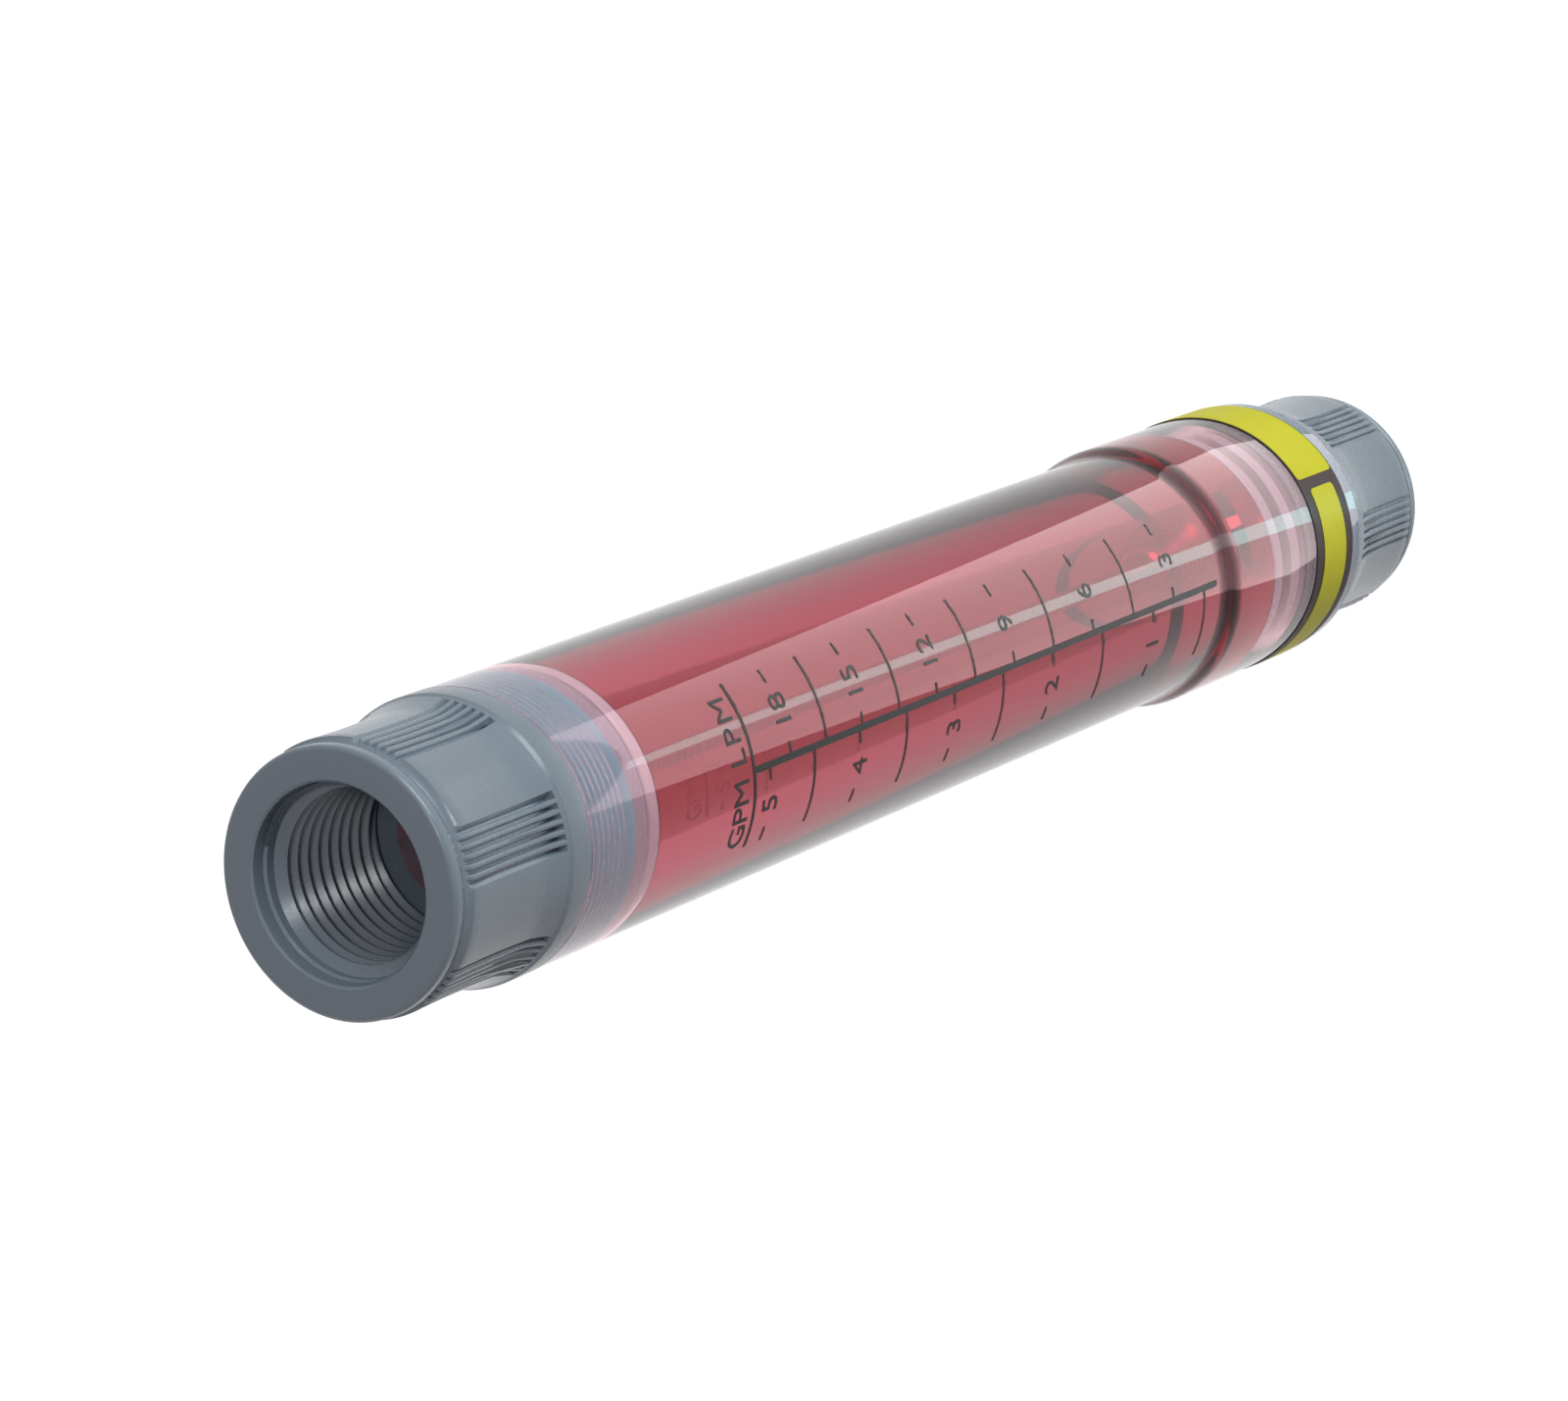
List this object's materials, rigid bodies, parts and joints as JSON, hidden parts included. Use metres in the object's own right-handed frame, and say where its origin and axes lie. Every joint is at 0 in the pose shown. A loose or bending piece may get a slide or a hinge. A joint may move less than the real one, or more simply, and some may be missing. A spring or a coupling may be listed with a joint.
{
  "type": "rotameter",
  "caption": "In-line rotameter: tapered clear tube with a printed scale, a steel float on a guide rod and threaded grey pipe fittings at both ends.",
  "frame": {"origin": "centre of the inlet end face, which the meter stands on", "axes": "+Z along the flow and the tube's axis, from inlet to outlet; -Y is the side that the scale faces; +X is the litre side of the scale"},
  "size_m": [0.0342, 0.0342, 0.232],
  "materials": {
    "rose_acrylic": "polished, clear with a rose-red cast",
    "grey_plastic": "moulded, satin gloss",
    "stainless": "turned",
    "seal_rubber": "smooth",
    "pale_silicone": "smooth, milky",
    "white_polymer": "moulded",
    "scale_ink": "printed",
    "label_black": "printed film",
    "label_yellow": "printed film"
  },
  "bodies": {
    "meter_body": {"metering_tube": "rose_acrylic", "inlet_fitting": "grey_plastic", "outlet_fitting": "grey_plastic", "inlet_o_ring_lower": "seal_rubber", "inlet_o_ring_upper": "seal_rubber", "outlet_o_ring": "pale_silicone", "guide_rod": "stainless", "lower_rod_clip": "stainless", "upper_rod_clip": "stainless", "lower_rod_holder": "white_polymer", "upper_rod_holder": "white_polymer", "lower_float_stop": "white_polymer", "upper_float_stop": "white_polymer", "scale_line": "scale_ink", "scale_border": "scale_ink", "litre_marks": "scale_ink", "gallon_marks": "scale_ink", "label_film": "label_black", "label_fields": "label_yellow"},
    "float": {"float_body": "stainless"}
  },
  "joints": [
    {"name": "float_rise", "type": "slide", "parent": "meter_body", "child": "float", "axis": [0, 0, 1], "range_m": [0, 0.1236]}
  ]
}
